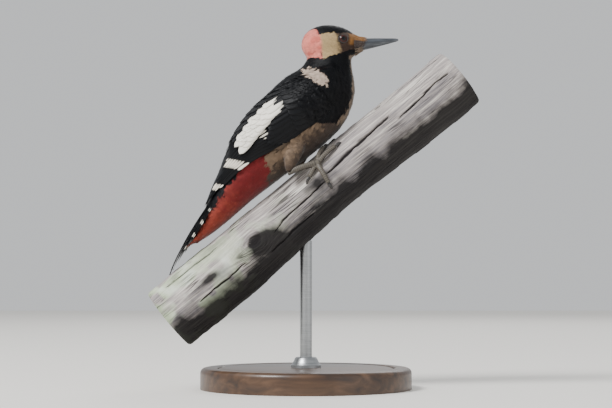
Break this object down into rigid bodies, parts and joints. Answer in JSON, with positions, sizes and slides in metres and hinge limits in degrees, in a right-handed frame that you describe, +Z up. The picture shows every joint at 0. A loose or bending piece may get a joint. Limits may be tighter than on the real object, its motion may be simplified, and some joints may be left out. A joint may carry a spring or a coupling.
{
  "type": "great spotted woodpecker",
  "caption": "Life-size still model of an adult male great spotted woodpecker clinging to a sloping cut length of dead branch, held by a rod on a round display base.",
  "frame": {"origin": "centre of the underside of the round display base", "axes": "+Z up, the bird and its bill face +X, the bird's left side is +Y"},
  "size_m": [0.2216, 0.14, 0.2427],
  "materials": {
    "plumage_black": "satin black feathers with white markings",
    "plumage_buff": "soft buff and white feathers",
    "plumage_red": "soft crimson feathers",
    "bill_horn": "worn slate grey horn",
    "claw_horn": "smooth dark horn",
    "foot_skin": "scaled grey skin",
    "eye": "wet, deep red brown",
    "perch_wood": "weathered bare dead wood",
    "stand_wood": "turned, dark stained and waxed",
    "stand_steel": "brushed"
  },
  "bodies": {
    "root": {"head": "plumage_black", "neck": "plumage_black", "trunk": "plumage_buff", "tail_coverts": "plumage_red", "tail": "plumage_black", "wing_right": "plumage_black", "wing_left": "plumage_black", "thigh_right": "plumage_buff", "thigh_left": "plumage_buff", "eye_right": "eye", "eye_left": "eye", "bill_upper": "bill_horn", "bill_lower": "bill_horn", "foot_right": "foot_skin", "foot_left": "foot_skin", "claw_right_1_hind": "claw_horn", "claw_right_2_inner": "claw_horn", "claw_right_3_middle": "claw_horn", "claw_right_4_outer": "claw_horn", "claw_left_1_hind": "claw_horn", "claw_left_2_inner": "claw_horn", "claw_left_3_middle": "claw_horn", "claw_left_4_outer": "claw_horn", "perch": "perch_wood", "stand_base": "stand_wood", "stand_collar": "stand_steel", "stand_rod": "stand_steel"}
  },
  "joints": []
}
